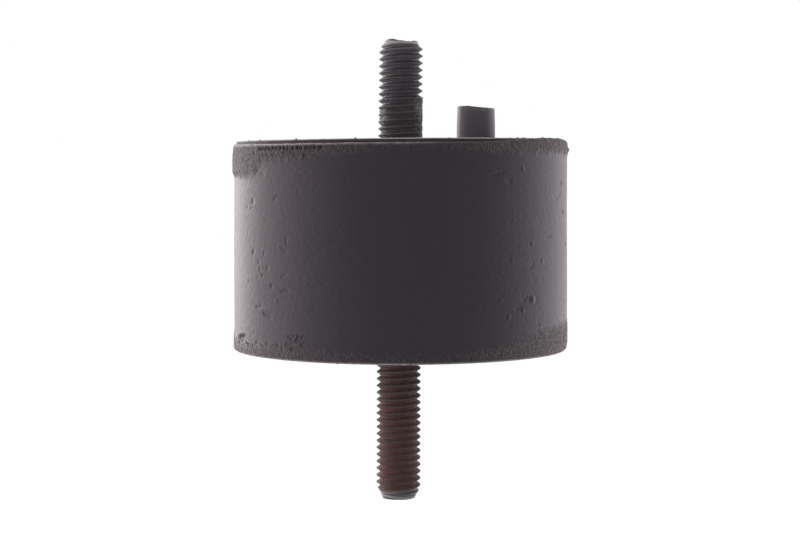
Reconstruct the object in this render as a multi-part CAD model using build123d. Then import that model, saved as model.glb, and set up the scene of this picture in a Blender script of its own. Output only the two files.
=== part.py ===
from build123d import *
import os

# Engine mount: a round rubber block bonded between two steel end plates, with a
# threaded stud standing out of each plate and a locating pin beside the upper stud.
# Lengths are in millimetres. The origin is the centre of the lower seating face,
# +Z runs up along the studs, and the locating pin stands on the +X side.

# Rubber body
body_diameter = 60.0
body_height = 37.5  # seating face to seating face
upper_shoulder_width = 0.4  # rubber outside the upper plate's rim
upper_shoulder_drop = 0.75  # the rubber stops this far below the upper seating face
lower_wrap_thickness = 1.5  # rubber round the lower plate's rim, flush with its face
shoulder_edge_radius = 0.3
foot_edge_bevel = 0.4

# End plates
plate_thickness = 3.0
plate_edge_bevel = 0.3

# Threaded studs, drawn to the outside of their threads
thread_diameter = 8.0
thread_root_diameter = 6.47
upper_stud_length = 18.0  # above the upper seating face
lower_stud_length = 27.3  # below the lower seating face
upper_tip_diameter = 5.6
upper_tip_bevel_length = 1.3
lower_tip_diameter = 5.8
lower_nose_length = 1.6  # plain end that the thread rolls left unthreaded
lower_runout_length = 0.9  # slope from the nose up to the thread
stud_shoulder_diameter = 9.0  # plain part pressed through the plate
stud_head_diameter = 13.0
stud_head_height = 3.2
head_edge_bevel = 0.5

# Locating pin
pin_offset = 13.6  # from the studs' axis, along +X
pin_diameter = 6.8
pin_height = 6.1  # above the upper seating face, on the pin's own axis
pin_top_slope = 3.2  # degrees: the sheared end falls towards +X
pin_edge_radius = 0.35
pin_shoulder_diameter = 7.4
pin_foot_diameter = 9.0
pin_foot_height = 2.0

# Radial gap between a pressed shoulder and its hole in the plate
shoulder_hole_clearance = 0.05

# Sizes and levels that several pieces share
upper_plate_diameter = body_diameter - 2 * upper_shoulder_width
lower_plate_diameter = body_diameter - 2 * lower_wrap_thickness
upper_face_level = body_height
upper_seat_level = upper_face_level - plate_thickness
shoulder_level = upper_face_level - upper_shoulder_drop
lower_seat_level = plate_thickness

# How a solid is set on a level: centred on its axis, with its underside on the level
standing = (Align.CENTER, Align.CENTER, Align.MIN)


def disc(diameter, height, bottom_level, offset=0):
    """An upright round disc, standing on a level."""
    return Pos(offset, 0, bottom_level) * Cylinder(diameter / 2, height, align=standing)


def turned(points):
    """A turned solid: its outline, drawn beside the studs' axis, swept right round it."""
    with BuildSketch(Plane.XZ) as section:
        with BuildLine():
            Polyline(*points, close=True)
        make_face()
    return revolve(section.sketch, Axis.Z, 360)


def rim_edge(solid, diameter, level):
    """The circular edge of that diameter at that level."""
    return [
        edge
        for edge in solid.edges().filter_by(GeomType.CIRCLE)
        if abs(edge.radius - diameter / 2) < 0.01 and abs(edge.center().Z - level) < 0.01
    ]


def make_buried_head(diameter, height, seat_level, offset=0, upper=True):
    """A flat round head, seated on the inner side of its plate, its free edge bevelled."""
    head = disc(diameter, height, seat_level - height if upper else seat_level, offset)
    free_end = head.faces().sort_by(Axis.Z)[0 if upper else -1]
    return chamfer(free_end.edges(), head_edge_bevel)


def make_stud_head(upper):
    """The head of the upper or of the lower stud."""
    seat_level = upper_seat_level if upper else lower_seat_level
    return make_buried_head(stud_head_diameter, stud_head_height, seat_level, upper=upper)


def make_pin_foot():
    """The foot of the locating pin."""
    return make_buried_head(pin_foot_diameter, pin_foot_height, upper_seat_level, pin_offset)


def make_rubber_body():
    """The rubber: a plain drum, moulded round the plates, the stud heads and the pin's foot."""
    drum = turned(
        [
            (0, lower_seat_level),
            (lower_plate_diameter / 2, lower_seat_level),
            (lower_plate_diameter / 2, 0),
            (body_diameter / 2, 0),
            (body_diameter / 2, shoulder_level),
            (upper_plate_diameter / 2, shoulder_level),
            (upper_plate_diameter / 2, upper_seat_level),
            (0, upper_seat_level),
        ]
    )
    drum = fillet(rim_edge(drum, body_diameter, shoulder_level), shoulder_edge_radius)
    drum = chamfer(rim_edge(drum, body_diameter, 0), foot_edge_bevel)
    return drum - make_stud_head(upper=True) - make_stud_head(upper=False) - make_pin_foot()


def make_plate(diameter, bottom_level):
    """A blanked steel disc with the hole that its stud is pressed through."""
    hole = disc(stud_shoulder_diameter + 2 * shoulder_hole_clearance, plate_thickness, bottom_level)
    return disc(diameter, plate_thickness, bottom_level) - hole


def make_upper_plate():
    """The upper plate: a second hole for the pin, and a broken edge where the rim shows."""
    pin_hole = disc(
        pin_shoulder_diameter + 2 * shoulder_hole_clearance,
        plate_thickness,
        upper_seat_level,
        pin_offset,
    )
    plate = make_plate(upper_plate_diameter, upper_seat_level) - pin_hole
    return chamfer(rim_edge(plate, upper_plate_diameter, upper_face_level), plate_edge_bevel)


def make_lower_plate():
    """The lower plate, wrapped by the rubber up to its outer face."""
    return make_plate(lower_plate_diameter, 0)


def make_upper_stud():
    """The upper stud: shoulder in the plate, thread, and an end bevelled through the thread."""
    tip_level = upper_face_level + upper_stud_length
    shank = turned(
        [
            (0, upper_seat_level),
            (stud_shoulder_diameter / 2, upper_seat_level),
            (stud_shoulder_diameter / 2, upper_face_level),
            (thread_diameter / 2, upper_face_level),
            (thread_diameter / 2, tip_level - upper_tip_bevel_length),
            (upper_tip_diameter / 2, tip_level),
            (0, tip_level),
        ]
    )
    return shank + make_stud_head(upper=True)


def make_lower_stud():
    """The lower stud: shoulder in the plate, thread, and a plain tapered nose below it."""
    tip_level = -lower_stud_length
    nose_level = tip_level + lower_nose_length
    shank = turned(
        [
            (0, tip_level),
            (lower_tip_diameter / 2, tip_level),
            (thread_root_diameter / 2, nose_level),
            (thread_diameter / 2, nose_level + lower_runout_length),
            (thread_diameter / 2, 0),
            (stud_shoulder_diameter / 2, 0),
            (stud_shoulder_diameter / 2, lower_seat_level),
            (0, lower_seat_level),
        ]
    )
    return shank + make_stud_head(upper=False)


def make_locating_pin():
    """The locating pin: a straight pin, with a sheared end that slopes and a round edge."""
    spare_length = pin_diameter  # taken off again by the sloping cut
    blank = disc(pin_diameter, pin_height + spare_length, upper_face_level, pin_offset)
    waste = Box(3 * pin_diameter, 3 * pin_diameter, 3 * spare_length, align=standing)
    cut_place = Pos(pin_offset, 0, upper_face_level + pin_height) * Rot(0, pin_top_slope, 0)
    sheared = blank - cut_place * waste
    end_face = sheared.faces().sort_by(Axis.Z)[-1]
    nose = fillet(end_face.edges(), pin_edge_radius)
    shoulder = disc(pin_shoulder_diameter, plate_thickness, upper_seat_level, pin_offset)
    return nose + shoulder + make_pin_foot()


def main():
    os.makedirs("parts", exist_ok=True)
    export_step(make_rubber_body(), "parts/rubber_body.step")
    export_step(make_upper_plate(), "parts/upper_plate.step")
    export_step(make_lower_plate(), "parts/lower_plate.step")
    export_step(make_upper_stud(), "parts/upper_stud.step")
    export_step(make_lower_stud(), "parts/lower_stud.step")
    export_step(make_locating_pin(), "parts/locating_pin.step")


main()
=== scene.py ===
import math
import random

import bmesh
import bpy
import numpy as np
from mathutils import Matrix, Vector, noise


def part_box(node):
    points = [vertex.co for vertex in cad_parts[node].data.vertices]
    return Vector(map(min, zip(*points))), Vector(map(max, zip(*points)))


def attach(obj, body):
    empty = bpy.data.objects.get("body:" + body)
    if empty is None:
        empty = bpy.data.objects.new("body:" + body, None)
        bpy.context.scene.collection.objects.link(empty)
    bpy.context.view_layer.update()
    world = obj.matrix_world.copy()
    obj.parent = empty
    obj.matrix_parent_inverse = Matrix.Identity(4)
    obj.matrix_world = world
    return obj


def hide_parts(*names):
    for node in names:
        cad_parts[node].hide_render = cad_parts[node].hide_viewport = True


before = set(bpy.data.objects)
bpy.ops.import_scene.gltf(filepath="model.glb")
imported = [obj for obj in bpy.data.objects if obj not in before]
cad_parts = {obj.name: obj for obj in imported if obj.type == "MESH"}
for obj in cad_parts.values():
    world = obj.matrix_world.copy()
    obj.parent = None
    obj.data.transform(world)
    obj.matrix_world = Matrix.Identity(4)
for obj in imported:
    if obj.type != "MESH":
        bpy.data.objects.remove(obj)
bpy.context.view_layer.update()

# Engine mount, dressed. Lengths here are in millimetres, turned to metres as a mesh is
# made. Azimuth is measured round the studs' axis: 0 faces the camera (-Y), 90 is +X.
MM = 0.001

# Sizes read from the CAD frame
BODY = [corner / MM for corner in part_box("rubber_body")]
UPPER_PLATE = [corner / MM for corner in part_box("upper_plate")]
LOWER_PLATE = [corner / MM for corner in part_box("lower_plate")]
UPPER_STUD = [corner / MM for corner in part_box("upper_stud")]
LOWER_STUD = [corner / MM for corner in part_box("lower_stud")]
PIN = [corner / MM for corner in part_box("locating_pin")]

BODY_RADIUS = BODY[1].x
SHOULDER_LEVEL = BODY[1].z
FACE_LEVEL = UPPER_PLATE[1].z
UPPER_SEAT = UPPER_PLATE[0].z
LOWER_SEAT = LOWER_PLATE[1].z
UPPER_PLATE_RADIUS = UPPER_PLATE[1].x
LOWER_PLATE_RADIUS = LOWER_PLATE[1].x
HEAD_RADIUS = UPPER_STUD[1].x
PIN_OFFSET = (PIN[0].x + PIN[1].x) / 2
PIN_FOOT_RADIUS = (PIN[1].x - PIN[0].x) / 2

# Sizes that the CAD boxes don't give
HEAD_BEVEL = 0.5
STUD_SHOULDER_RADIUS = 4.5
PIN_SHOULDER_RADIUS = 3.7
HOLE_CLEARANCE = 0.05
PLATE_BEVEL = 0.3

# Metric coarse thread, 8 mm across, its crests a little worn
PITCH = 1.25
CREST_RADIUS = 3.98
UPPER_ROOT = 3.25
LOWER_ROOT = 3.36  # filled a little by rust
CREST_HALF_FLAT = 0.07  # as a share of the pitch
FLANK_SHARE = 0.34  # of the pitch, for each flank
THREAD_COLUMNS = 128
SPARE_TURNS = 2  # laid out past both ends of a thread, then cut off


def smooth(value, low, high):
    """A soft step from 0 at low to 1 at high."""
    t = np.clip((value - low) / (high - low), 0.0, 1.0)
    return t * t * (3 - 2 * t)


def bell(value, middle, width):
    """1 at the middle, falling softly to 0 on both sides."""
    return np.exp(-(((value - middle) / width) ** 2))


def lumps(points, size, stretch=1.0, offset=0.0):
    """Smooth noise from about -1 to 1 at each point, with features of one size in millimetres.
    A stretch above 1 draws them out along Z."""
    scale = np.array([1.0, 1.0, 1.0 / stretch]) / size
    return np.array([noise.noise(Vector(p * scale + offset)) for p in points])


def crumble(points, size):
    """Rough, creased noise from 0 to about 1, for torn and crumbly rubber."""
    ridges = [noise.ridged_multi_fractal(Vector(p / size), 0.9, 2.1, 4, 0.9, 2.0) for p in points]
    return np.array(ridges) / 2.2


def around(radius, azimuth, height):
    """Points at a radius, an azimuth in degrees and a height."""
    a = np.radians(azimuth)
    radius, a, height = np.broadcast_arrays(radius, a, height)
    return np.stack([radius * np.sin(a), -radius * np.cos(a), height], axis=-1)


def azimuths(columns):
    """Evenly spaced azimuths right round, in degrees."""
    return np.arange(columns) * 360.0 / columns - 180.0


def rings(outline, columns):
    """Rows of points for an outline of (radius, height) turned round the axis."""
    outline = np.array(outline, float)
    return around(outline[:, :1], azimuths(columns)[None, :], outline[:, 1:])


def buried_head(radius, end, seat):
    """Outline of a flat head as (radius, height), from its middle out to its seat."""
    bevel = math.copysign(HEAD_BEVEL, seat - end)
    return [(0, end), (radius - HEAD_BEVEL, end), (radius, end + bevel), (radius, seat)]


def grid_faces(rows, columns, first=0, climb=0):
    """Quads between neighbouring rows, closed right round. With a climb, the last column joins
    the first one that many rows higher, as a helix does."""
    faces = []
    for row in range(rows - 1):
        start = first + row * columns
        low = first + min(row + climb, rows - 1) * columns
        high = first + min(row + 1 + climb, rows - 1) * columns
        for here in range(start, start + columns - 1):
            faces.append((here, here + 1, here + 1 + columns, here + columns))
        faces.append((start + columns - 1, low, high, start + 2 * columns - 1))
    return faces


def put(name, data):
    """A new object in the scene."""
    thing = bpy.data.objects.new(name, data)
    bpy.context.scene.collection.objects.link(thing)
    return thing


def mesh_object(name, blocks, crease_angle=35, attributes=None):
    """One closed mesh from blocks of (rows of points, climb) that follow each other.
    Points that meet are merged, and edges sharper than the angle stay sharp. Each attribute
    has a value for every point, block after block."""
    vertices = []
    faces = []
    first = 0
    for points, climb in blocks:
        rows, columns = points.shape[:2]
        vertices.append(points.reshape(-1, 3))
        faces += grid_faces(rows, columns, first, climb)
        first += rows * columns
    vertices = np.concatenate(vertices) * MM
    mesh = bpy.data.meshes.new(name)
    mesh.from_pydata(vertices.tolist(), [], faces)
    for key, values in (attributes or {}).items():
        layer = mesh.attributes.new(key, "FLOAT", "POINT")
        layer.data.foreach_set("value", np.asarray(values, np.float32).ravel())
    clean(mesh, crease_angle)
    return put(name, mesh)


def clean(mesh, crease_angle):
    """Merges doubled points, turns the faces outwards and marks the sharp edges."""
    work = bmesh.new()
    work.from_mesh(mesh)
    bmesh.ops.remove_doubles(work, verts=work.verts, dist=0.002 * MM)
    bmesh.ops.dissolve_degenerate(work, edges=work.edges, dist=0.0005 * MM)
    bmesh.ops.recalc_face_normals(work, faces=work.faces)
    limit = math.radians(crease_angle)
    for face in work.faces:
        face.smooth = True
    for edge in work.edges:
        edge.smooth = not edge.is_manifold or edge.calc_face_angle(0) < limit
    work.to_mesh(mesh)
    work.free()


# Rubber body

# Azimuths of the mesh: close together where the photo shows the wall, wider apart behind
BODY_AZIMUTHS = np.concatenate(
    [np.linspace(-100, 100, 420, endpoint=False), np.linspace(100, 260, 120, endpoint=False)]
)
# Steps in height between rows of points: finer within a reach of each rim
FINE_STEP = 0.22
COARSE_STEP = 0.26
TOP_FINE = 7.0
BOTTOM_FINE = 6.5
SHOULDER_EDGE = 0.3  # radius of the upper corner
FOOT_BEVEL = 0.4
RUBBER_TILT = 0.0075  # the upper end rises a little towards +X

# Lower edge of the rough band at the top rim, and upper edge of the one at the bottom
# rim, as (azimuth, height)
TOP_BAND_EDGE = [
    (-110, 31.8), (-75, 31.6), (-62, 31.6), (-58, 32.2), (-53, 33.8), (-45, 34.2), (-30, 34.4),
    (-18, 34.8), (-10, 35.5), (0, 36.0), (12, 35.5), (42, 35.0), (65, 35.2), (95, 34.7),
    (125, 34.4), (170, 35.0),
]
BOTTOM_BAND_EDGE = [
    (-120, 3.0), (-90, 3.4), (-76, 2.2), (-60, 2.0), (-36, 2.9), (-10, 1.8), (19, 2.1),
    (36, 2.7), (48, 3.6), (58, 4.9), (92, 5.6), (130, 3.2), (175, 2.2),
]

# How strong the painted highlight along the rubber's upper corner beside the plate is, as (azimuth,
# share)
PAINTED_EDGE_HIGHLIGHT = [
    (-180, 0.3), (-100, 0.9), (-80, 1.0), (-32, 1.0), (-24, 0.60), (-12, 0.45), (0, 0.40),
    (9, 0.25), (14, 0.10), (28, 0.05), (40, 0.0), (120, 0.0), (150, 0.3),
]

# Round marks in the wall, as (azimuth, height, radius, depth). A negative depth stands out.
PITS = [
    (43.5, 32.3, 0.36, -0.13), (72.3, 24.9, 0.45, -0.16), (70.5, 29.8, 0.55, -0.14),
    (77.0, 19.2, 0.45, -0.14), (38.8, 17.0, 0.36, -0.10), (48.2, 19.8, 0.40, -0.12),
    (42.4, 19.2, 0.24, -0.08), (53.7, 16.7, 0.34, -0.12), (33.7, 10.4, 0.36, -0.10),
    (48.2, 10.2, 0.62, -0.24), (43.5, 8.4, 0.36, -0.14), (37.2, 7.5, 0.38, -0.12),
    (53.0, 5.7, 0.34, -0.12), (15.5, 18.8, 0.50, -0.05), (13.5, 23.8, 0.50, -0.05),
    (-46.4, 30.5, 0.34, 0.07), (-58.0, 27.0, 0.50, 0.12), (-57.6, 18.2, 0.50, 0.15),
    (-51.0, 18.0, 0.34, 0.12), (-54.0, 16.5, 0.34, 0.12), (-53.4, 15.2, 0.32, 0.12),
    (-51.8, 14.2, 0.32, 0.12), (-54.6, 13.8, 0.28, 0.10), (-49.0, 15.6, 0.42, 0.12),
    (-46.9, 12.5, 0.42, 0.16), (-39.2, 11.9, 0.26, 0.12), (-61.3, 12.9, 0.30, 0.14),
    (-44.6, 10.0, 0.36, -0.12), (-38.8, 4.1, 0.30, 0.16), (-35.1, 3.8, 0.26, 0.20),
    (-34.0, 3.5, 0.22, 0.18), (-36.9, 3.4, 0.34, -0.12), (-29.0, 9.1, 0.24, 0.10),
    (-71.5, 2.8, 0.42, 0.30), (-69.2, 3.0, 0.46, 0.36), (-66.9, 3.2, 0.42, 0.32),
    (-65.0, 3.4, 0.30, 0.22),
]
RANDOM_PITS = 22
CLUSTER_PITS = 16  # in the small rough patch at the lower left

TORN_LEVEL = 36.08  # of the row of torn holes just under the raised upper corner
TORN_DEPTH = 0.30

# Narrow marks in the wall, as (azimuth, height, length, slope in degrees, depth)
NICKS = [
    (20.8, 33.0, 2.0, 4, 0.11), (31.0, 31.5, 2.2, 11, 0.14), (33.8, 31.7, 1.8, 11, 0.13),
    (37.0, 30.7, 1.5, 3, 0.11), (37.4, 30.2, 1.3, 4, 0.10), (31.5, 30.3, 1.2, 35, 0.06),
    (65.2, 28.0, 4.4, 12, 0.13), (58.0, 20.9, 2.5, 6, 0.12), (47.5, 16.0, 1.8, 15, 0.13),
    (44.2, 10.4, 1.5, 25, 0.13), (41.0, 9.0, 2.0, 8, 0.11), (20.5, 9.5, 2.6, 3, 0.10),
    (8.5, 25.6, 1.2, 28, 0.06), (6.0, 21.5, 1.3, -33, 0.06), (1.0, 15.8, 1.2, 24, 0.06),
    (18.0, 12.3, 2.3, 4, 0.07), (52.0, 4.5, 1.8, -24, 0.16),
    (-56.0, 32.5, 2.4, -22, 0.14), (-53.6, 32.3, 2.2, -24, 0.13), (-52.0, 31.8, 1.8, -20, 0.12),
    (-45.0, 27.7, 1.6, 35, 0.12), (-62.4, 26.0, 1.0, 10, 0.12), (-59.5, 25.7, 1.0, 12, 0.12),
    (-31.5, 30.0, 1.0, 85, 0.09), (-35.0, 28.5, 1.0, 80, 0.09), (-40.0, 20.2, 1.5, 82, 0.12),
    (-41.0, 18.9, 1.8, -30, 0.12), (-41.0, 14.4, 1.7, 22, 0.13), (-27.5, 13.4, 3.8, 6, 0.12),
    (-40.9, 11.9, 2.0, 20, 0.13), (-54.0, 8.9, 2.35, 12, 0.14), (-50.9, 7.7, 1.2, -52, 0.19),
    (-49.7, 7.6, 1.3, -52, 0.19), (-48.5, 7.5, 1.3, -52, 0.19), (-47.3, 7.3, 1.1, -52, 0.17),
    (-68.9, 2.6, 4.0, 4, 0.10), (-36.4, 4.3, 2.2, -6, 0.09), (-36.6, 2.5, 2.6, 4, 0.09),
    (-18.3, 11.1, 1.3, 8, 0.10), (-18.3, 5.7, 1.2, -6, 0.10), (-17.3, 18.8, 2.4, 4, 0.09),
]
RANDOM_NICKS = 60
NICK_WIDTH = 0.17


def round_about(table, azimuth):
    """A value that a table of (azimuth, value) gives, on its way round."""
    return np.interp(azimuth, *zip(*table), period=360)


def wall_distance(azimuth, height, mark):
    """Offsets along the wall from a mark, sideways and up."""
    turn = (azimuth - mark[0] + 180) % 360 - 180
    return np.radians(turn) * BODY_RADIUS, height - mark[1]


def blemishes(azimuth, height, chance):
    """How deep the pits and nicks go at each point."""
    pits = list(PITS)
    for _ in range(RANDOM_PITS):
        size = chance.uniform(0.20, 0.34)
        depth = size * chance.choice((-0.18, 0.18))
        pits.append((chance.uniform(-180, 180), chance.uniform(2, 35), size, depth))
    for turn in range(-76, -34, 3):  # along the left part of the lower band's edge
        place = turn + chance.uniform(-1, 1)
        level = float(round_about(BOTTOM_BAND_EDGE, place)) + chance.uniform(-0.1, 0.4)
        pits.append((place, level, chance.uniform(0.2, 0.28), chance.uniform(0.12, 0.24)))
    for _ in range(CLUSTER_PITS):
        size = chance.uniform(0.19, 0.28)
        depth = size * chance.choice((-0.7, 1.1))
        pits.append((chance.uniform(-41, -32.5), chance.uniform(2.0, 4.4), size, depth))
    nicks = list(NICKS)
    for _ in range(RANDOM_NICKS):
        place = (chance.uniform(-180, 180), chance.uniform(3, 34))
        length, slope = chance.uniform(0.6, 1.6), chance.gauss(10, 35)
        nicks.append((*place, length, slope, chance.uniform(0.02, 0.07)))
    depth = np.zeros_like(height)
    for pit in pits:
        side, up = wall_distance(azimuth, height, pit)
        away = np.hypot(side, up) / pit[2]
        rim = 0.25 * bell(away, 1.5, math.sqrt(0.15))
        depth += pit[3] * (bell(away, 0, 1) - rim)
    for nick in nicks:
        side, up = wall_distance(azimuth, height, nick)
        slope = math.radians(nick[3])
        along = side * math.cos(slope) + up * math.sin(slope)
        across = up * math.cos(slope) - side * math.sin(slope)
        bow = across - 0.12 * (along**2 - (nick[2] / 2) ** 2)
        ends = smooth(nick[2] / 2 - np.abs(along), 0.0, 0.3)
        depth += nick[4] * ends * bell(bow, 0, NICK_WIDTH)
    return depth


def rim_climb(azimuth):
    """How far the rubber covers the plate's rim: 0 is not at all, 1 is up to the plate's face."""
    return smooth(azimuth, 24, 56) * smooth(-azimuth, -150, -125)


def corner_drop(azimuth):
    """How far the rubber's upper corner sags on the right."""
    return 0.6 * smooth(azimuth, 66, 90) * smooth(-azimuth, -125, -100)


def torn_holes(azimuth, height, chance):
    """1 in the middle of each deep torn hole: a row of them at the left, fainter and smaller
    ones below it, and faint ones in front."""
    marks = []  # as (azimuth, height, half width, half height, share)
    place = -53.5
    while place < -24:
        marks.append((place, TORN_LEVEL + chance.uniform(-0.08, 0.08), 0.30, 0.36, 1.0))
        place += chance.uniform(1.3, 2.4)
    for place in np.arange(-60, -32, 1.7):
        level = TORN_LEVEL - chance.uniform(0.75, 1.25)
        place += chance.uniform(-0.5, 0.5)
        marks.append((place, level, 0.22, 0.26, chance.uniform(0.2, 0.65)))
    for place in np.arange(-23, 8, 2.6):
        place += chance.uniform(-0.8, 0.8)
        marks.append((place, TORN_LEVEL, 0.24, 0.24, chance.uniform(0.2, 0.5)))
    torn = np.zeros_like(height)
    for mark in marks:
        side, up = wall_distance(azimuth, height, mark)
        torn = np.maximum(torn, mark[4] * bell(side, 0, mark[2]) * bell(up, 0, mark[3]))
    return torn


def rubber_outline():
    """The rubber's outline as (radius, height), with recesses for the plates and heads."""
    top_end = SHOULDER_LEVEL - SHOULDER_EDGE
    fine_top = np.arange(top_end, SHOULDER_LEVEL - TOP_FINE, -FINE_STEP)[::-1]
    fine_bottom = np.arange(FOOT_BEVEL, BOTTOM_FINE, FINE_STEP)
    low, high = fine_bottom[-1], fine_top[0]
    middle = np.linspace(low, high, int((high - low) / COARSE_STEP) + 1)[1:-1]
    wall = [(BODY_RADIUS, height) for height in (*fine_bottom, *middle, *fine_top)]
    corner = []
    for turn in np.radians([15, 30, 45, 60, 75, 90]):
        inset = SHOULDER_EDGE * (1 - math.cos(turn))
        corner.append((BODY_RADIUS - inset, SHOULDER_LEVEL - SHOULDER_EDGE * (1 - math.sin(turn))))
    outline = [
        *buried_head(HEAD_RADIUS, LOWER_STUD[1].z, LOWER_SEAT),
        (LOWER_PLATE_RADIUS, LOWER_SEAT),
        (LOWER_PLATE_RADIUS, 0),
        (LOWER_PLATE_RADIUS + 0.4, 0),
        (BODY_RADIUS - FOOT_BEVEL - 0.2, 0),
        (BODY_RADIUS - FOOT_BEVEL, 0.04),
        (BODY_RADIUS - FOOT_BEVEL / 2, FOOT_BEVEL * 0.35),
        *wall,
        *corner,
        (UPPER_PLATE_RADIUS, SHOULDER_LEVEL),
        (UPPER_PLATE_RADIUS, UPPER_SEAT),
        *reversed(buried_head(HEAD_RADIUS, UPPER_STUD[0].z, UPPER_SEAT)),
    ]
    return np.array(outline)


def make_rubber_body():
    """The rubber: satin wall, rough bands at both rims, and an upper corner torn at the left."""
    outline = rubber_outline()
    points = around(outline[:, :1], BODY_AZIMUTHS[None, :], outline[:, 1:])
    shape = points.shape
    flat = points.reshape(-1, 3)
    radius = np.hypot(flat[:, 0], flat[:, 1])
    outer = (radius > LOWER_PLATE_RADIUS + 0.1) & (flat[:, 2] < SHOULDER_LEVEL + 0.01)
    outer &= ~((radius < UPPER_PLATE_RADIUS + 0.01) & (flat[:, 2] > UPPER_SEAT - 0.01))
    index = np.flatnonzero(outer)
    spots = flat[index]
    radius = radius[index]
    height = spots[:, 2].copy()
    azimuth = np.degrees(np.arctan2(spots[:, 0], -spots[:, 1]))
    left = bell(azimuth, -88, 30)
    right = bell(azimuth, 92, 34)
    ragged = 0.5 * lumps(spots, 1.7) + 0.3 * lumps(spots, 0.7, offset=9)
    fade = 0.5 + 0.7 * bell(azimuth, -58, 12)
    top = smooth((height - round_about(TOP_BAND_EDGE, azimuth) + ragged) / fade, -1.0, 1.3)
    bottom = smooth(round_about(BOTTOM_BAND_EDGE, azimuth) - height + ragged, -0.7, 0.9)
    top_share = 1 - 0.65 * bell(azimuth, 7, 30)  # the front is the smoothest
    band = np.clip(top * top_share + (0.55 + 0.45 * right) * bottom, 0, 1)
    # The bands stand out, most at the left, and the upper one rounds off towards its corner
    rounding = smooth(height, SHOULDER_LEVEL - 1.9, SHOULDER_LEVEL)
    relief = top * (0.05 + 0.27 * left + 0.12 * right) - rounding * (0.18 * left + 0.12 * right)
    swell = np.interp(height, [0.5, 1.4], [-0.10, 0.07])
    relief += bottom * (0.02 + 0.13 * left + swell * right)
    relief += 0.11 * smooth(-height, -30, -8)  # the drum flares a little downwards
    relief += band * (0.07 + 0.05 * left) * (crumble(spots, 0.9) - 0.45)
    relief += band * 0.035 * lumps(spots, 0.5, 1.4, offset=3)
    relief += (1 - band) * 0.03 * lumps(spots, 9.0, 1.5, offset=5)
    relief += 0.30 * bell(azimuth, 86, 5) * bell(height, 35.6, 0.28)  # a burr
    relief -= blemishes(azimuth, height, random.Random(11)) * (1 - 0.6 * band)
    torn = torn_holes(azimuth, height, random.Random(3))
    relief -= TORN_DEPTH * torn
    least = np.where(height > UPPER_SEAT, UPPER_PLATE_RADIUS + 0.04, 0) - radius
    relief = np.maximum(relief, least)
    outward = np.stack([np.sin(np.radians(azimuth)), -np.cos(np.radians(azimuth))], axis=-1)
    flat[index, :2] += outward * relief[:, None]
    # The corner is uneven, and on the right it climbs to the plate's face
    climb = rim_climb(azimuth)
    edge = smooth(height, SHOULDER_LEVEL - 1.2 * SHOULDER_EDGE, SHOULDER_LEVEL)
    rise = smooth(height, SHOULDER_LEVEL - 2.0, SHOULDER_LEVEL)
    uneven = 0.05 * lumps(spots, 2.4, offset=13) + 0.05 * lumps(spots, 0.6, offset=15)
    flat[index, 2] += edge * (0.08 + 0.25 * left + uneven)
    flat[index, 2] -= rise * corner_drop(azimuth)
    flat[index, 2] += rise * climb * (FACE_LEVEL - SHOULDER_LEVEL)
    flat[index, 2] += edge * climb * (0.02 + 0.12 * lumps(spots, 0.9, offset=17))
    flat[:, 2] += RUBBER_TILT * flat[:, 0] * smooth(flat[:, 2], 22, 33)
    # Painted highlight: a pale tone along the upper corner, brightest on the left where the lamps
    # are, and along the foot's bottom edge
    painted_edge_highlight = edge * (1 - climb) * round_about(PAINTED_EDGE_HIGHLIGHT, azimuth)
    painted_edge_highlight = np.maximum(painted_edge_highlight, 0.4 * smooth(-height, -0.30, -0.10))
    band = band * (1 + 0.9 * left)
    attributes = {}
    for name, values in (("band", band), ("painted_edge_highlight", painted_edge_highlight), ("torn", torn)):
        attributes[name] = np.zeros(len(flat))
        attributes[name][index] = values
    return mesh_object("rubber_block", [(flat.reshape(shape), 0)], 70, attributes)


# Plates

PLATE_COLUMNS = 360
HOLE_COLUMNS = 96
CUT_MARGIN = 1.0
PLATE_LIFT = 0.03  # the upper plate stands this much above its CAD place


def make_upper_plate():
    """The upper plate, its edge bevelled, with the stud's hole and the pin's hole."""
    hole = STUD_SHOULDER_RADIUS + HOLE_CLEARANCE
    edge = []
    for inset, drop in ((0, 1), (0.2, 0.65), (0.4, 0.35), (1, 0), (4, 0)):
        edge.append((UPPER_PLATE_RADIUS - inset * PLATE_BEVEL, FACE_LEVEL - drop * PLATE_BEVEL))
    outline = [
        (hole, UPPER_SEAT),
        (UPPER_PLATE_RADIUS, UPPER_SEAT),
        *edge,
        (hole, FACE_LEVEL),
        (hole, UPPER_SEAT),
    ]
    rows = rings(outline, PLATE_COLUMNS)
    wear, face = np.zeros((2, *rows.shape[:2]))
    # Painted highlight on the bevel, partly rubbed steel: pale all round, and more so towards the
    # front
    wear[4:6] = 0.35 + 0.65 * smooth(-np.abs(azimuths(PLATE_COLUMNS)), -60, -35)  # the bevel
    face[6:8] = 1.0
    plate = mesh_object("top_plate", [(rows, 0)], 50, {"wear": wear, "face": face})
    bore = PIN_SHOULDER_RADIUS + HOLE_CLEARANCE
    low, high = UPPER_SEAT - CUT_MARGIN, FACE_LEVEL + CUT_MARGIN
    cylinder = rings([(0, low), (bore, low), (bore, high), (0, high)], HOLE_COLUMNS)
    cutter = mesh_object("pin_hole_cutter", [(cylinder, 0)])
    cutter.data.transform(Matrix.Translation((PIN_OFFSET * MM, 0, 0)))
    cut = plate.modifiers.new("pin_hole", "BOOLEAN")
    cut.operation = "DIFFERENCE"
    cut.solver = "EXACT"
    cut.object = cutter
    bpy.context.view_layer.update()
    evaluated = plate.evaluated_get(bpy.context.evaluated_depsgraph_get())
    holed = bpy.data.meshes.new_from_object(evaluated)
    plate.modifiers.clear()
    plate.data = holed
    bpy.data.objects.remove(cutter)
    for vertex in plate.data.vertices:
        vertex.co.z += RUBBER_TILT * vertex.co.x + PLATE_LIFT * MM
    return plate


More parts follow.
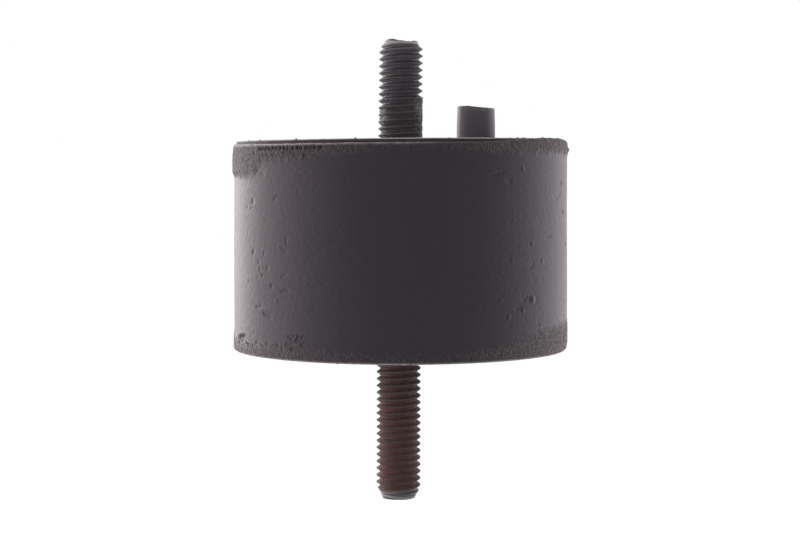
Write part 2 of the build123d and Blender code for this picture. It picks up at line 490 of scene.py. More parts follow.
def make_lower_plate():
    """The lower plate, flush with the rubber that wraps its rim."""
    hole = STUD_SHOULDER_RADIUS + HOLE_CLEARANCE
    outline = [
        (hole, 0),
        (LOWER_PLATE_RADIUS - 1.0, 0),
        (LOWER_PLATE_RADIUS, 0),
        (LOWER_PLATE_RADIUS, LOWER_SEAT),
        (hole, LOWER_SEAT),
        (hole, 0),
    ]
    rows = rings(outline, PLATE_COLUMNS)
    face = np.zeros(rows.shape[:2])
    face[[0, 1, -1]] = 1.0
    return mesh_object("bottom_plate", [(rows, 0)], 50, {"face": face})


# Studs

UPPER_BURR = 0.27  # a burr stands up on the left of the end
UPPER_TIP_WEAR = 0.05  # how far the crests are worn down at the end
UPPER_LEAN = 0.010  # sideways, for each millimetre up
UPPER_SHIFT = -0.08  # sideways
UPPER_THREAD_START = 0.033  # height of a crest at azimuth 0, give or take whole pitches
LOWER_THREAD_START = 0.92
LOWER_SHIFT = -0.35  # the lower stud stands this far to the left of the studs' axis
LOWER_LEAN = 0.003
LOWER_TILT = 0.012  # extra rise of its rings, for each millimetre to the right
LOWER_EXTRA = 0.02  # the lower end's burred edge
LOWER_STRETCH = 0.0058  # its thread is a little longer than the nominal pitch gives
LOWER_RISE = 0.10  # and it stands this much higher
# Radius that the bevelled end leaves, at distances from the end
UPPER_END = (
    [0, 0.12, 0.3, 0.65, 1.0, 1.4, 1.8],
    [2.74, 2.88, 3.03, 3.09, 3.42, 3.84, CREST_RADIUS],
)
LOWER_END = (
    [0, 0.10, 0.50, 0.65, 0.95, 1.20, 1.55, 1.90],
    [2.84, 3.01, 3.11, 3.19, 3.31, 3.48, 3.72, CREST_RADIUS],
)

# Rings of each stud's hollow end face, as (share of its radius, height above the rim)
UPPER_DISH = [(1, 0), (0.93, -0.04), (0.6, -0.10), (0, -0.10)]
LOWER_DISH = [(0, 0.06), (0.7, 0.03), (1, 0)]

# Where the points of one turn of the thread lie, as shares of the pitch from its crest
THREAD_STEPS = [
    0.0, 0.055, 0.085, 0.16, 0.24, 0.33, 0.40, 0.5, 0.60, 0.67, 0.76, 0.84, 0.915, 0.945,
]


def thread_rows(low, high, start):
    """Azimuth and height of each point of a right-hand thread, row by row, cut off at both ends."""
    azimuth = azimuths(THREAD_COLUMNS)
    first = math.floor((low - start) / PITCH) - SPARE_TURNS
    last = math.ceil((high - start) / PITCH) + SPARE_TURNS
    shares = np.array([turn + step for turn in range(first, last) for step in THREAD_STEPS])
    height = start + PITCH * (shares[:, None] + azimuth[None, :] / 360)
    return np.broadcast_to(azimuth, height.shape), np.clip(height, low, high)


def thread_radius(azimuth, height, start, root):
    """Radius of the plain thread form: flat crest, straight flanks, narrow flat root."""
    share = ((height - start) / PITCH - azimuth / 360) % 1.0
    from_crest = np.minimum(share, 1 - share)
    fall = np.clip((from_crest - CREST_HALF_FLAT) / FLANK_SHARE, 0, 1)
    return CREST_RADIUS - (CREST_RADIUS - root) * fall


def thread_lumps(azimuth, height, size, offset):
    """Smooth noise over the thread's points."""
    spots = around(CREST_RADIUS, azimuth, height).reshape(-1, 3)
    return lumps(spots, size, offset=offset).reshape(height.shape)


def lean(points, level, slope, shift=0.0, tilt=0.0):
    """Moves points sideways and turns them a little round a level."""
    moved = points.copy()
    moved[..., 0] += shift + slope * (points[..., 2] - level)
    moved[..., 2] += (tilt - slope) * points[..., 0]
    return moved


def dished(dish, radius, azimuth, level):
    """The rings of a stud's end face."""
    return np.stack([around(radius * share, azimuth, level + rise) for share, rise in dish])


def padded(before, values, after, first=0.0, last=0.0):
    """The thread's values, with one plain value for the rows before it and one for those after."""
    start = np.full(before.shape[0] * before.shape[1], first)
    end = np.full(after.shape[0] * after.shape[1], last)
    return np.concatenate([start, values.ravel(), end])


def flash_share(side, above, broad):
    """How much of the thread's depth the caught rubber fills: most on the right, least in front."""
    right = smooth(8.1 - above, 0.0, 0.25)
    left = 0.75 * smooth(above, 2.6, 3.1) * smooth(5.9 - above, 0.0, 0.4)
    left = left + 0.3 * smooth(2.9 - above, 0.0, 0.4)
    front = 0.25 * smooth(7.0 + 0.8 * broad - above, 0.0, 0.5)
    share = np.clip(side, 0, 1) ** 0.6 * right + np.clip(-side, 0, 1) ** 0.8 * left
    return share + (1 - np.abs(side)) * front


def make_upper_stud():
    """The upper stud: bevelled end, and rubber flash caught in the threads near the plate."""
    low, high = FACE_LEVEL, UPPER_STUD[1].z
    azimuth, height = thread_rows(low, high, UPPER_THREAD_START)
    radius = thread_radius(azimuth, height, UPPER_THREAD_START, UPPER_ROOT)
    crest = smooth(radius, CREST_RADIUS - 0.30, CREST_RADIUS - 0.05)
    tip_wear = UPPER_TIP_WEAR * smooth(height, low + 4, high)
    radius -= tip_wear * smooth(radius, UPPER_ROOT, CREST_RADIUS)
    side = np.sin(np.radians(azimuth))
    slant = np.where(side < 0, 0.20, -0.10) * side
    radius = np.minimum(radius, np.interp(high - height - slant, *UPPER_END))
    fine = thread_lumps(azimuth, height, 0.35, 21)
    broad = thread_lumps(azimuth, height, 1.3, 23)
    share = flash_share(side, height - low, broad)
    fill = share + 0.22 * broad * smooth(share, 0.0, 0.3)
    flash = UPPER_ROOT + (CREST_RADIUS - UPPER_ROOT) * fill + 0.04 * fine
    filled = smooth(share, 0.02, 0.20) * smooth(flash - radius, -0.08, 0.05)
    covered = np.maximum(radius, np.minimum(flash, CREST_RADIUS + 0.05))
    radius = np.where(share > 0.05, covered, radius)
    radius += 0.02 * fine * (1 - filled)
    skirt = smooth(low + 0.8 - height, 0.0, 0.8)
    radius += skirt * np.clip(0.16 + 0.24 * side + 0.10 * broad, 0, 1)
    base = [
        *buried_head(HEAD_RADIUS, UPPER_STUD[0].z, UPPER_SEAT),
        (STUD_SHOULDER_RADIUS, UPPER_SEAT),
        (STUD_SHOULDER_RADIUS, FACE_LEVEL),
    ]
    thread = lean(around(radius, azimuth, height), low, UPPER_LEAN, UPPER_SHIFT)
    base_rows = np.concatenate([rings(base, THREAD_COLUMNS), thread[:1]])
    tip_rows = dished(UPPER_DISH, radius[-1], azimuth[0], high)
    tip_rows = lean(tip_rows, low, UPPER_LEAN, UPPER_SHIFT)
    for rows in (thread, tip_rows):
        across = rows[..., 0]
        burr = smooth(across, -2.9, -2.0) * smooth(-across, 0.2, 1.5)
        burr *= smooth(np.hypot(across, rows[..., 1]), 1.2, 2.4)
        worn = 0.14 * smooth(across, -0.2, 1.3) * smooth(-across, -2.3, -1.8)
        rows[..., 2] += (UPPER_BURR * burr - worn) * smooth(rows[..., 2], high - 0.30, high - 0.05)
    pale = smooth(height, high - 0.60, high - 0.50) * smooth(-height, 0.14 - high, 0.24 - high)
    pale *= 1 - 0.5 * smooth(-side, 0.45, 0.85)
    layers = {
        "flash": padded(base_rows, filled, tip_rows),
        "crest": padded(base_rows, crest, tip_rows, last=1.0),
        "pale": padded(base_rows, pale, tip_rows),
    }
    blocks = [(base_rows, 0), (thread, len(THREAD_STEPS)), (tip_rows, 0)]
    return mesh_object("upper_thread", blocks, 40, layers)


def make_lower_stud():
    """The lower stud: its last turn fades into a slightly tapered nose, sheared at a slope."""
    low, high = LOWER_STUD[0].z - LOWER_EXTRA, 0.0
    azimuth, height = thread_rows(low, high, LOWER_THREAD_START)
    radius = thread_radius(azimuth, height, LOWER_THREAD_START, LOWER_ROOT)
    crest = smooth(radius, CREST_RADIUS - 0.17, CREST_RADIUS - 0.05)
    side = np.sin(np.radians(azimuth))
    above = height - low + 0.3 * side
    radius = np.minimum(radius, np.interp(above, *LOWER_END))
    # Pale rings on the nose and along the last groove, stronger on the left: partly rubbed steel,
    # partly painted highlight
    bare_and_highlight = bell(above, 0.42, 0.17) * smooth(above, 0.05, 0.2)
    groove = height - low - PITCH * azimuth / 360  # follows the last groove round
    bare_and_highlight = np.maximum(bare_and_highlight, (0.75 - 0.30 * side) * bell(groove, 1.40, 0.10))
    nose = smooth(1.58 - groove, 0.0, 0.15)
    fine = thread_lumps(azimuth, height, 0.45, 31)
    broad = thread_lumps(azimuth, height, 1.4, 33)
    radius += 0.018 * fine + 0.015 * broad + 0.02
    base = [
        (STUD_SHOULDER_RADIUS, 0),
        (STUD_SHOULDER_RADIUS, LOWER_SEAT),
        *reversed(buried_head(HEAD_RADIUS, LOWER_STUD[1].z, LOWER_SEAT)),
    ]
    thread = lean(around(radius, azimuth, height), high, LOWER_LEAN, LOWER_SHIFT, LOWER_TILT)
    tip_rows = dished(LOWER_DISH, radius[0], azimuth[0], low)
    tip_rows = lean(tip_rows, high, LOWER_LEAN, LOWER_SHIFT, LOWER_TILT)
    for rows in (thread, tip_rows):
        rows[..., 2] += LOWER_RISE + LOWER_STRETCH * rows[..., 2]
    base_rows = np.concatenate([thread[-1:], rings(base, THREAD_COLUMNS)])
    layers = {
        "crest": padded(tip_rows, crest, base_rows, first=1.0),
        "nose": padded(tip_rows, nose, base_rows, first=1.0),
        "bare_and_highlight": padded(tip_rows, bare_and_highlight * nose, base_rows),
    }
    blocks = [(tip_rows, 0), (thread, len(THREAD_STEPS)), (base_rows, 0)]
    return mesh_object("lower_thread", blocks, 40, layers)


# Locating pin

PIN_COLUMNS = 160
PIN_HEIGHT = 6.1
# Height of the pin's end at places across it
PIN_END = ([-3.4, -1.5, -0.4, 1.2, 3.4], [0.24, 0.22, 0.06, -0.09, -0.19])
# Radius of the pin at heights above the plate
PIN_SIDE = [(0.0, 3.49), (0.4, 3.47), (2.9, 3.46), (4.6, 3.41), (5.6, 3.37)]


def make_pin():
    """The locating pin: sheared at a slope, and narrowed a little by wear towards its end."""
    azimuth = azimuths(PIN_COLUMNS)
    foot = [
        *buried_head(PIN_FOOT_RADIUS, PIN[0].z, UPPER_SEAT),
        (PIN_SHOULDER_RADIUS, UPPER_SEAT),
        (PIN_SHOULDER_RADIUS, FACE_LEVEL),
    ]
    side = np.sin(np.radians(azimuth))
    top = FACE_LEVEL + PIN_HEIGHT + np.interp(PIN_SIDE[-1][1] * side, *PIN_END)
    edge_drop = 0.15 - 0.04 * side + 0.03 * np.sin(np.radians(azimuth * 5 + 70))
    places, radii = zip(*PIN_SIDE)
    painted_left_highlight = smooth(-side, 0.52, 0.80) * smooth(side, -0.98, -0.92)  # painted highlight down its left side, on the side of the lamps
    rows = [*rings(foot, PIN_COLUMNS)]
    wear = [np.zeros(PIN_COLUMNS)] * len(foot)
    for share in np.linspace(0.0, 1.0, 26):
        height = share * (top - edge_drop - FACE_LEVEL)
        radius = np.interp(height, places, radii)
        spots = around(radius, azimuth, height)
        radius = radius + 0.012 * lumps(spots, 1.2, 3.0, offset=41)
        rows.append(around(radius, azimuth, FACE_LEVEL + height))
        wear.append(0.3 * share + 0.6 * smooth(height - top + FACE_LEVEL, -1.0, -0.3) + painted_left_highlight)
    rim = np.interp(top - edge_drop - FACE_LEVEL, places, radii)
    for turn in (0.35, 0.7, 1.0):
        inset = 0.16 * (1 - 0.3 * side) * (1 - math.cos(turn * math.pi / 2))
        height = top - edge_drop * (1 - math.sin(turn * math.pi / 2))
        rows.append(around(rim - inset, azimuth, height))
        wear.append(np.ones(PIN_COLUMNS))
    for share in (0.75, 0.4, 0.0):
        height = FACE_LEVEL + PIN_HEIGHT - 0.05 + np.interp(rim * share * side, *PIN_END)
        rows.append(around(rim * share, azimuth, height))
        wear.append(np.full(PIN_COLUMNS, 0.4))
    points = np.stack(rows)
    points[..., 0] += PIN_OFFSET
    return mesh_object("dowel", [(points, 0)], attributes={"wear": np.stack(wear)})


# Rubber crumbs along the rims

CRUMB_COUNT = 300
CRUMB_SIZES = (0.04, 0.18)  # the least and the largest radius of a random one
LOWER_EACH = 6  # one random crumb in six lies at the lower rim
# The larger crumbs that stand on the upper rim, as (azimuth, size)
LARGE_CRUMBS = [
    (-14.6, 0.16), (55.5, 0.20), (69.0, 0.15), (42.0, 0.12), (44.5, 0.13), (-36.5, 0.17),
    (-54.8, 0.12), (-51.3, 0.11), (-63.4, 0.11), (-81.0, 0.10), (22.0, 0.10), (27.0, 0.09),
]


def make_crumbs():
    """Torn crumbs of rubber along the upper rim, and a few at the lower one."""
    chance = random.Random(5)
    work = bmesh.new()
    for number in range(CRUMB_COUNT + len(LARGE_CRUMBS)):
        size = min(CRUMB_SIZES[1], CRUMB_SIZES[0] + chance.expovariate(30))
        azimuth = chance.uniform(-180, 180)
        if number >= CRUMB_COUNT:
            azimuth, size = LARGE_CRUMBS[number - CRUMB_COUNT]
            radius = UPPER_PLATE_RADIUS - 0.1
            height = FACE_LEVEL + 0.5 * size
            height += RUBBER_TILT * radius * math.sin(math.radians(azimuth))
        elif number % LOWER_EACH:
            radius = chance.uniform(UPPER_PLATE_RADIUS - 0.6, BODY_RADIUS - 0.1)
            rise = max(smooth(UPPER_PLATE_RADIUS + 0.1 - radius, 0.0, 0.2), rim_climb(azimuth))
            height = SHOULDER_LEVEL + (FACE_LEVEL - SHOULDER_LEVEL) * float(rise)
            height += RUBBER_TILT * radius * math.sin(math.radians(azimuth)) - corner_drop(azimuth)
        else:
            radius = BODY_RADIUS - chance.uniform(0.0, 0.3)
            height = chance.uniform(0.05, 0.5)
        place = Vector(around(radius, azimuth, height).tolist()) * MM
        lengths = [chance.uniform(*limits) for limits in ((0.8, 1.8), (0.6, 1.2), (0.5, 1.0))]
        stretch = Matrix.Diagonal((*lengths, 1))
        turn = Matrix.Rotation(math.radians(azimuth), 4, "Z")
        stand = Matrix.Translation(place) @ turn @ stretch
        made = bmesh.ops.create_icosphere(work, subdivisions=2, radius=size * MM, matrix=stand)
        for vertex in made["verts"]:
            offset = vertex.co - place
            vertex.co = place + offset * (1 + 0.35 * noise.noise(vertex.co / (0.12 * MM)))
    for face in work.faces:
        face.smooth = True
    mesh = bpy.data.meshes.new("rim_crumbs")
    work.to_mesh(mesh)
    work.free()
    return put("rim_crumbs", mesh)


# Materials


class Nodes:
    """Adds and joins the nodes of one material."""

    def __init__(self, name):
        self.material = bpy.data.materials.new(name)
        self.material.use_nodes = True
        self.tree = self.material.node_tree
        self.shader = self.tree.nodes["Principled BSDF"]
        place = self.add("ShaderNodeTexCoord").outputs["Object"]
        scaled = self.add("ShaderNodeVectorMath", operation="SCALE")
        self.feed(place, scaled.inputs[0])
        self.feed(1 / MM, scaled.inputs["Scale"])
        self.place = scaled.outputs[0]

    def add(self, kind, **settings):
        node = self.tree.nodes.new(kind)
        for key, value in settings.items():
            setattr(node, key, value)
        return node

    def feed(self, value, target):
        """Gives a socket what another one puts out, or a plain number or colour of its own."""
        if isinstance(value, bpy.types.NodeSocket):
            self.tree.links.new(value, target)
        elif target.type == "RGBA":
            colour = value if isinstance(value, tuple) else (value, value, value)
            target.default_value = (*colour, 1)
        else:
            target.default_value = value

    def set(self, **values):
        """Feeds the shader's sockets. Underscores stand for spaces in their names."""
        for key, value in values.items():
            self.feed(value, self.shader.inputs[key.replace("_", " ")])

    def stretched(self, *scale):
        """The place, scaled along X, Y and Z."""
        node = self.add("ShaderNodeVectorMath", operation="MULTIPLY")
        self.feed(self.place, node.inputs[0])
        self.feed(scale, node.inputs[1])
        return node.outputs[0]

    def noise(self, scale, detail=4.0, roughness=0.55, distortion=0.0, place=None):
        """Noise with features of about 1 / scale millimetres."""
        node = self.add("ShaderNodeTexNoise")
        self.feed(place or self.place, node.inputs["Vector"])
        self.feed(scale, node.inputs["Scale"])
        self.feed(detail, node.inputs["Detail"])
        self.feed(roughness, node.inputs["Roughness"])
        self.feed(distortion, node.inputs["Distortion"])
        return node.outputs["Fac"]

    def ramp(self, value, *stops):
        """A ramp of greys through (place, grey) stops."""
        node = self.add("ShaderNodeValToRGB")
        self.feed(value, node.inputs[0])
        while len(node.color_ramp.elements) < len(stops):
            node.color_ramp.elements.new(0.5)
        for element, (position, grey) in zip(node.color_ramp.elements, stops):
            element.position = position
            element.color = (grey, grey, grey, 1)
        return node.outputs["Color"]

    def step(self, value, low, high):
        """0 below low, 1 above high."""
        return self.ramp(value, (low, 0.0), (high, 1.0))

    def mix(self, factor, a, b):
        """a where the factor is 0, b where it is 1. Each may be a grey, a colour or a socket."""
        node = self.add("ShaderNodeMix", data_type="RGBA")
        for value, number in ((factor, 0), (a, 6), (b, 7)):
            self.feed(value, node.inputs[number])
        return node.outputs[2]

    def maths(self, operation, *values):
        node = self.add("ShaderNodeMath", operation=operation)
        for value, target in zip(values, node.inputs):
            self.feed(value, target)
        return node.outputs[0]

    def attribute(self, name):
        return self.add("ShaderNodeAttribute", attribute_name=name).outputs["Fac"]

    def axis(self, name):
        """One coordinate, in millimetres."""
        node = self.add("ShaderNodeSeparateXYZ")
        self.feed(self.place, node.inputs[0])
        return node.outputs[name]

    def tilt(self):
        """1 where the surface faces up, 0 where it faces down."""
        node = self.add("ShaderNodeSeparateXYZ")
        self.feed(self.add("ShaderNodeNewGeometry").outputs["Normal"], node.inputs[0])
        return self.maths("MULTIPLY_ADD", node.outputs["Z"], 0.5, 0.5)

    def bump(self, height, distance, after=None):
        """Bump of that many millimetres, on top of an earlier one."""
        node = self.add("ShaderNodeBump")
        self.feed(height, node.inputs["Height"])
        self.feed(distance * MM, node.inputs["Distance"])
        self.feed(1.0, node.inputs["Strength"])
        if after is not None:
            self.feed(after, node.inputs["Normal"])
        return node.outputs[0]


def rubber_material():
    """Satin black, matt and speckled in the rough bands; painted highlights on its edges, painted
    shade in the torn holes.
    """
    n = Nodes("rubber_satin")
    band = n.attribute("band")
    painted_edge_highlight = n.attribute("painted_edge_highlight")
    torn = n.step(n.attribute("torn"), 0.10, 0.55)
    ticks = n.step(n.noise(1.0, 3, 0.6, 0.6, n.stretched(3.0, 1.1, 1.7)), 0.42, 0.60)
    grain = n.noise(2.6, 5, 0.65, 0.4)
    smooth_tone = n.mix(n.noise(0.09, 3), (0.0118, 0.0108, 0.0150), (0.0156, 0.0140, 0.0188))
    band_tone = n.mix(ticks, (0.006, 0.0054, 0.0065), (0.042, 0.037, 0.040))
    tone = n.mix(band, smooth_tone, band_tone)
    # Painted shade: near black inside the torn holes, where shade would fall
    tone = n.mix(torn, tone, (0.003, 0.0027, 0.003))
    # Painted highlight: a pale tone, broken into bits, along the upper corner and the foot's edge
    bits = n.ramp(n.noise(1.3, 3, 0.6), (0.42, 0.65), (0.62, 1.5))
    painted_edge_highlight_bits = n.maths("MULTIPLY", painted_edge_highlight, bits)
    tone = n.mix(painted_edge_highlight_bits, tone, (0.42, 0.39, 0.395))
    mottle = n.noise(1.3, 4, 0.6, place=n.stretched(1.0, 0.6, 1.0))
    streaks = n.noise(1.0, 4, 0.6, place=n.stretched(2.4, 2.4, 0.7))
    polish = n.ramp(mottle, (0.3, 0.45), (0.75, 0.55))
    satin = n.mix(band, polish, n.ramp(grain, (0.3, 0.55), (0.7, 0.75)))
    waves = n.bump(streaks, 0.014)
    speck = n.bump(mottle, 0.078, after=waves)
    rough_height = n.maths("MULTIPLY", n.maths("ADD", ticks, grain), band)
    n.set(
        Base_Color=tone,
        Roughness=n.mix(torn, satin, 0.95),
        Normal=n.bump(rough_height, 0.15, after=speck),
        Specular_IOR_Level=0.26,
        Specular_Tint=(1.0, 0.94, 0.97),
        Sheen_Weight=0.42,
        Sheen_Roughness=0.45,
        Sheen_Tint=(1.0, 0.82, 0.88),
    )
    return n.material


def crumb_material():
    """Dry rubber, some of it dusty."""
    n = Nodes("rubber_crumb")
    n.set(
        Base_Color=n.mix(n.noise(1.2), (0.05, 0.046, 0.048), (0.30, 0.28, 0.285)),
        Roughness=0.8,
        Normal=n.bump(n.noise(4.0, 5, 0.7), 0.06),
        Specular_IOR_Level=0.25,
        Sheen_Weight=0.3,
        Sheen_Roughness=0.5,
    )
    return n.material


def plate_material():
    """A thin black coat on the rims, rubbed through to steel at the edge and on the faces; on the
    edge's bevel the pale steel is also a painted highlight, strongest in front.
    """
    n = Nodes("plate_black_coat")
    patches = n.step(n.noise(0.35, 6, 0.65, 0.6), 0.45, 0.68)
    specks = n.step(n.noise(2.2, 5, 0.7), 0.52, 0.72)
    coat = n.mix(n.noise(0.8, 4), (0.014, 0.0125, 0.015), (0.026, 0.0225, 0.026))
    worn = n.mix(patches, coat, (0.044, 0.034, 0.035))
    rusty = n.mix(n.maths("MULTIPLY", specks, 0.5), worn, (0.070, 0.043, 0.040))
    bare_and_highlight = n.mix(n.noise(1.5, 4), (0.24, 0.225, 0.23), (0.50, 0.48, 0.49))
    # The outer faces are rubbed down to grey steel, with rust left in patches
    rubbed = n.mix(patches, (0.34, 0.325, 0.33), (0.21, 0.17, 0.16))
    rubbed = n.mix(n.maths("MULTIPLY", specks, 0.6), rubbed, (0.12, 0.075, 0.06))
    tone = n.mix(n.attribute("face"), rusty, rubbed)
    pitted = n.bump(n.noise(1.8, 6, 0.7), 0.05)
    # On the bevel the pale steel is partly rubbed steel and partly a painted highlight
    n.set(
        Base_Color=n.mix(n.attribute("wear"), tone, bare_and_highlight),
        Roughness=n.ramp(specks, (0.0, 0.60), (1.0, 0.80)),
        Normal=n.bump(n.noise(0.25, 3), 0.15, after=pitted),
        Specular_IOR_Level=0.20,
        Specular_Tint=(1.0, 0.94, 0.96),
    )
    return n.material


def black_stud_material():
    """Black oxide, with rubber caught low in the thread; the downward flanks are painted pale, a
    painted stand-in for light from below.
    """
    n = Nodes("stud_black_oxide")
    flash = n.attribute("flash")
    wear = n.step(n.noise(0.9, 5, 0.65), 0.40, 0.70)
    steel = n.mix(wear, (0.034, 0.0305, 0.036), (0.050, 0.0445, 0.050))
    pale_flank_tone = n.mix(wear, (0.125, 0.112, 0.124), (0.160, 0.145, 0.158))
    # Painted light: flanks that face down get a pale tone in place of light from below
    flanks = n.mix(n.ramp(n.tilt(), (0.25, 1.0), (0.45, 0.0)), steel, pale_flank_tone)
    crests = n.mix(wear, (0.044, 0.040, 0.045), (0.072, 0.066, 0.072))
    thread = n.mix(n.attribute("crest"), flanks, crests)
    # Rubber caught in the thread: dark in front, with pale scuffs at the sides
    aside = n.maths("MULTIPLY", n.maths("ABSOLUTE", n.axis("X")), 0.2)
    spots = n.noise(1.6, 4, 0.7, place=n.stretched(1.0, 1.0, 1.2))
    scuffs = n.step(spots, 0.46, 0.60)
    scuffs = n.maths("MULTIPLY", n.step(aside, 0.44, 0.60), scuffs)
    grime = n.mix(scuffs, (0.021, 0.0190, 0.0215), (0.21, 0.20, 0.208))
    tone = n.mix(n.maths("MULTIPLY", flash, 0.85), thread, grime)
    n.set(
        Base_Color=n.mix(n.attribute("pale"), tone, (0.36, 0.345, 0.35)),
        Roughness=n.mix(flash, n.ramp(wear, (0.0, 0.45), (1.0, 0.6)), 0.65),
        Normal=n.bump(n.noise(3.0, 5, 0.7), 0.03),
        Specular_IOR_Level=0.40,
        Specular_Tint=(1.0, 0.94, 0.98),
    )
    return n.material


def rusty_stud_material():
    """Thin brown rust, paler where it faces up, a dark nose, and pale rubbed rings painted as
    highlights.
    """
    n = Nodes("stud_rusty")
    nose = n.attribute("nose")
    blotches = n.step(n.noise(0.30, 5, 0.6, 0.8), 0.40, 0.64)
    # Redder towards the lower end and on the left, where more rust remains; the extra orange on the
    # left is also a painted lit side, where the lamps stand
    lower = n.step(n.maths("MULTIPLY", n.axis("Z"), -1 / 28), 0.15, 0.60)
    left = n.step(n.maths("MULTIPLY", n.axis("X"), -0.2), 0.10, 0.60)
    share = n.maths("MULTIPLY_ADD", left, 0.45, n.maths("MULTIPLY", lower, 0.40))
    share = n.maths("MULTIPLY_ADD", blotches, 0.60, share)
    dark = n.mix(n.noise(1.5, 5, 0.7), (0.030, 0.0200, 0.0225), (0.048, 0.030, 0.031))
    orange = n.mix(n.noise(2.4, 5, 0.7), (0.070, 0.034, 0.029), (0.118, 0.051, 0.041))
    rust = n.mix(share, dark, orange)
    pale_flank_tone = n.mix(n.noise(1.1, 5, 0.7), (0.072, 0.046, 0.044), (0.108, 0.058, 0.050))
    pale_flank_tone = n.mix(n.maths("MULTIPLY", share, 0.4), pale_flank_tone, (0.115, 0.050, 0.040))
    rust = n.mix(n.ramp(n.tilt(), (0.55, 0.0), (0.75, 0.9)), rust, pale_flank_tone)
    crests = n.mix(lower, (0.056, 0.046, 0.044), (0.036, 0.023, 0.021))
    thread = n.mix(n.attribute("crest"), rust, crests)
    metal = n.mix(n.noise(1.2, 4), (0.026, 0.023, 0.027), (0.044, 0.039, 0.044))
    rubbed = n.mix(n.noise(1.8, 4), (0.14, 0.13, 0.135), (0.34, 0.325, 0.33))
    # The pale rings are partly rubbed steel and partly painted highlight
    n.set(
        Base_Color=n.mix(n.attribute("bare_and_highlight"), n.mix(nose, thread, metal), rubbed),
        Roughness=n.mix(nose, 0.68, 0.48),
        Normal=n.bump(n.noise(3.2, 6, 0.7), 0.05),
        Specular_IOR_Level=0.34,
    )
    return n.material


def pin_material():
    """Black oxide, scuffed along its length and rubbed at its end, with a painted highlight down
    its left side.
    """
    n = Nodes("pin_black_oxide")
    strokes = n.noise(1.0, 5, 0.65, place=n.stretched(2.0, 2.0, 0.35))
    scuffs = n.step(strokes, 0.45, 0.8)
    coat = n.mix(scuffs, (0.026, 0.0218, 0.0285), (0.038, 0.0318, 0.0395))
    rubbed = n.mix(n.noise(2.0, 4), (0.065, 0.061, 0.063), (0.115, 0.108, 0.111))
    # The wear attribute holds the rubbed end and a painted highlight down the left side
    n.set(
        Base_Color=n.mix(n.attribute("wear"), coat, rubbed),
        Roughness=n.ramp(scuffs, (0.0, 0.50), (1.0, 0.60)),
        Normal=n.bump(n.noise(1.0, 5, 0.6, place=n.stretched(4.0, 4.0, 0.8)), 0.015),
        Specular_IOR_Level=0.48,
        Specular_Tint=(1.0, 0.92, 0.95),
        Sheen_Weight=0.24,
        Sheen_Roughness=0.5,
        Sheen_Tint=(1.0, 0.86, 0.94),
    )
    return n.material


# Studio. Places and sizes here are in metres.

LENS = 80.42  # focal length in millimetres
CAMERA_PLACE = (-0.00012, -0.324, (FACE_LEVEL - 6.02) * MM)
CAMERA_PITCH = math.radians(2.944)  # looking down
FLOOR_DROP = 0.22  # below the lower stud: in the photo the mount hangs clear
FLOOR_HALF_SIDE = 6.0
FLOOR_GLOW = 0.6  # added where the floor is seen directly, so that it looks white
FILL_LIGHT = 0.51  # of the surroundings, where 1 is white


def make_camera():
    lens = bpy.data.cameras.new("camera")
    lens.lens = LENS
    lens.sensor_width = 36
    lens.clip_start = 0.01
    lens.clip_end = 20
    camera = put("camera", lens)
    camera.location = CAMERA_PLACE
    camera.rotation_euler = (math.pi / 2 - CAMERA_PITCH, 0, 0)
    bpy.context.scene.camera = camera


def seen_directly(tree):
    """1 for what the camera, a reflection or a refraction sees, and 0 for diffuse light."""
    path = tree.nodes.new("ShaderNodeLightPath")
    most = path.outputs["Is Camera Ray"]
    for name in ("Is Glossy Ray", "Is Transmission Ray"):
        node = tree.nodes.new("ShaderNodeMath")
        node.operation = "MAXIMUM"
        tree.links.new(most, node.inputs[0])
        tree.links.new(path.outputs[name], node.inputs[1])
        most = node.outputs[0]
    return most


def make_world():
    world = bpy.data.worlds.new("white_studio")
    bpy.context.scene.world = world
    world.use_nodes = True
    tree = world.node_tree
    background = tree.nodes["Background"]
    background.inputs["Color"].default_value = (1, 1, 1, 1)
    strength = tree.nodes.new("ShaderNodeMapRange")
    tree.links.new(seen_directly(tree), strength.inputs["Value"])
    strength.inputs["To Min"].default_value = FILL_LIGHT
    strength.inputs["To Max"].default_value = 1.0
    tree.links.new(strength.outputs[0], background.inputs["Strength"])


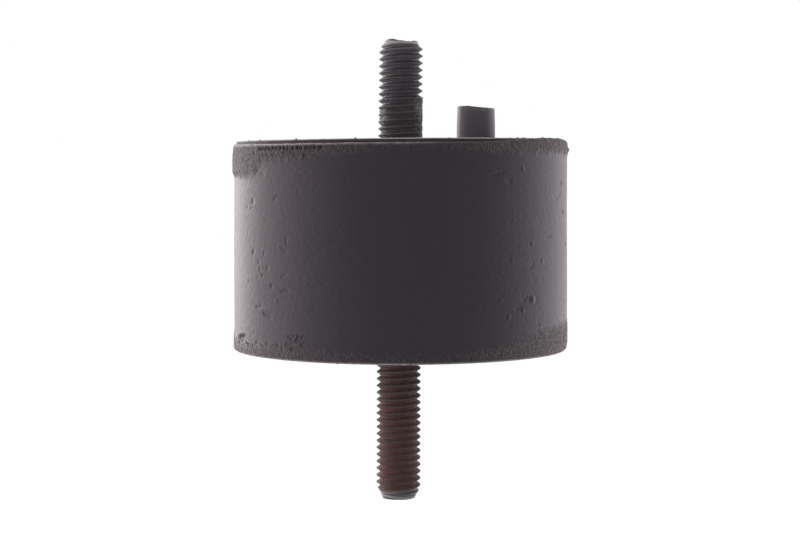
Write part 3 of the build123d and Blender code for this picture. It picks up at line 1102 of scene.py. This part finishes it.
def make_floor():
    """A pale floor well below the mount. It takes the soft shadow, looks white to the camera,
    and is clear from underneath."""
    level = LOWER_STUD[0].z * MM - FLOOR_DROP
    mesh = bpy.data.meshes.new("floor")
    corners = [(-1, -1), (1, -1), (1, 1), (-1, 1)]
    corners = [(x * FLOOR_HALF_SIDE, y * FLOOR_HALF_SIDE, level) for x, y in corners]
    mesh.from_pydata(corners, [], [(0, 1, 2, 3)])
    floor = put("floor", mesh)
    n = Nodes("pale_floor")
    n.set(
        Base_Color=0.8,
        Roughness=0.9,
        Specular_IOR_Level=0.0,
        Emission_Color=1.0,
        Emission_Strength=n.maths("MULTIPLY", seen_directly(n.tree), FLOOR_GLOW),
    )
    either = n.add("ShaderNodeMixShader")
    n.feed(n.add("ShaderNodeNewGeometry").outputs["Backfacing"], either.inputs[0])
    n.feed(n.shader.outputs[0], either.inputs[1])
    n.feed(n.add("ShaderNodeBsdfTransparent").outputs[0], either.inputs[2])
    n.feed(either.outputs[0], n.tree.nodes["Material Output"].inputs["Surface"])
    mesh.materials.append(n.material)


def area_light(name, place, size, radiance, tint=(1.0, 1.0, 1.0)):
    """A soft box aimed at the middle of the rubber. A radiance of 1 is white."""
    lamp = bpy.data.lights.new(name, "AREA")
    lamp.color = tint
    lamp.shape = "RECTANGLE"
    lamp.size, lamp.size_y = size
    lamp.energy = radiance * math.pi * size[0] * size[1]
    light = put(name, lamp)
    light.location = place
    aim = Vector((0, 0, FACE_LEVEL * MM / 2)) - Vector(place)
    light.rotation_euler = aim.to_track_quat("-Z", "Y").to_euler()
    light.visible_camera = False


def make_lights():
    area_light("soft_box_left_back", (-0.50, 0.46, 0.26), (0.53, 0.7), 4.4, (1.0, 0.995, 0.985))
    area_light("soft_box_left_side", (-0.675, -0.08, 0.03), (0.50, 0.7), 2.65, (1.0, 0.84, 0.90))
    area_light("soft_box_right_back", (0.50, 0.46, -0.04), (0.53, 0.7), 1.15, (0.97, 0.965, 1.0))
    area_light("soft_box_right_side", (0.67, 0.12, -0.05), (0.35, 0.7), 1.35, (0.95, 0.97, 1.0))
    area_light("soft_box_top", (-0.15, 0.25, 0.60), (0.6, 0.5), 0.9)
    area_light("soft_box_front", (0.1, -0.7, 0.5), (0.5, 0.4), 0.3)


def dress(piece, node, material):
    """Puts a finished piece in the place of its CAD node."""
    piece.data.materials.clear()
    piece.data.materials.append(material)
    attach(piece, "root")
    if node:
        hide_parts(node)


def main():
    view = bpy.context.scene.view_settings
    view.view_transform = "Standard"
    make_camera()
    make_world()
    make_floor()
    make_lights()
    dress(make_rubber_body(), "rubber_body", rubber_material())
    dress(make_crumbs(), None, crumb_material())
    plate_finish = plate_material()
    dress(make_upper_plate(), "upper_plate", plate_finish)
    dress(make_lower_plate(), "lower_plate", plate_finish)
    dress(make_upper_stud(), "upper_stud", black_stud_material())
    dress(make_lower_stud(), "lower_stud", rusty_stud_material())
    dress(make_pin(), "locating_pin", pin_material())


main()
